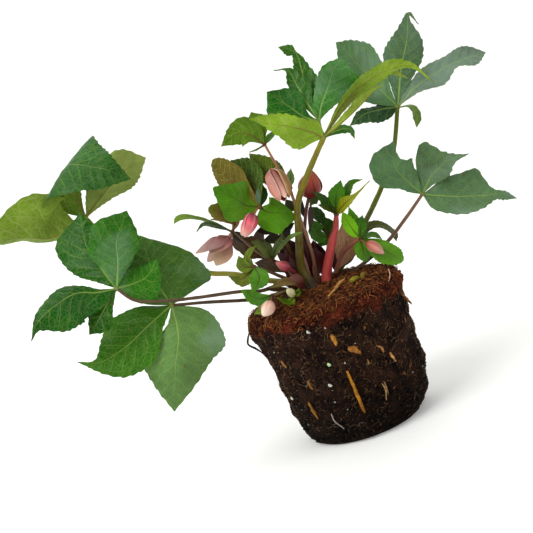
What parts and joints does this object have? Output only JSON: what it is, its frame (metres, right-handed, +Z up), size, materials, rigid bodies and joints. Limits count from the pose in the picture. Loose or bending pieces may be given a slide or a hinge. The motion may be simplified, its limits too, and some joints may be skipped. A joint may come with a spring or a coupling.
{
  "type": "hellebore plant",
  "caption": "Young hellebore lifted from its pot: a tapered root ball with stalked leaves, bracts, buds and a half-open nodding flower.",
  "frame": {"origin": "middle of the root ball's flat underside", "axes": "+Z up along the root ball's axis; -Y is the side seen in the picture, with the long-stalked leaves to -X"},
  "size_m": [0.3982, 0.1382, 0.2764],
  "materials": {
    "root_ball": "matte, fibrous peat and coir",
    "leaf": "satin, dark green with pale veins",
    "leaf_stalk": "satin, yellow-green to brown",
    "stem": "satin, red-pink",
    "bract": "satin, green to brown",
    "petal": "satin, dusty pink to cream"
  },
  "bodies": {
    "root": {"bloom_4": "petal", "bracts_1": "bract", "bracts_1_lower": "bract", "bracts_3": "bract", "bracts_4": "bract", "bracts_4_lower": "bract", "bracts_5": "bract", "bracts_6": "bract", "bracts_6_lower": "bract", "bracts_7": "bract", "bracts_8": "bract", "bracts_9": "bract", "bud_1": "petal", "bud_10": "petal", "bud_2": "petal", "bud_3": "petal", "bud_6": "petal", "bud_6_lower": "petal", "bud_8": "petal", "leaf_a_blades": "leaf", "leaf_a_stalk": "leaf_stalk", "leaf_b_blades": "leaf", "leaf_b_stalk": "leaf_stalk", "leaf_c_blades": "leaf", "leaf_c_stalk": "leaf_stalk", "leaf_d_blades": "leaf", "leaf_d_stalk": "leaf_stalk", "leaf_e_blades": "leaf", "leaf_e_stalk": "leaf_stalk", "leaf_f_blades": "leaf", "leaf_f_stalk": "leaf_stalk", "root_ball": "root_ball", "stem_1": "stem", "stem_10": "stem", "stem_2": "stem", "stem_3": "stem", "stem_4": "stem", "stem_5": "stem", "stem_6": "stem", "stem_7": "stem", "stem_8": "stem", "stem_9": "stem"}
  },
  "joints": []
}
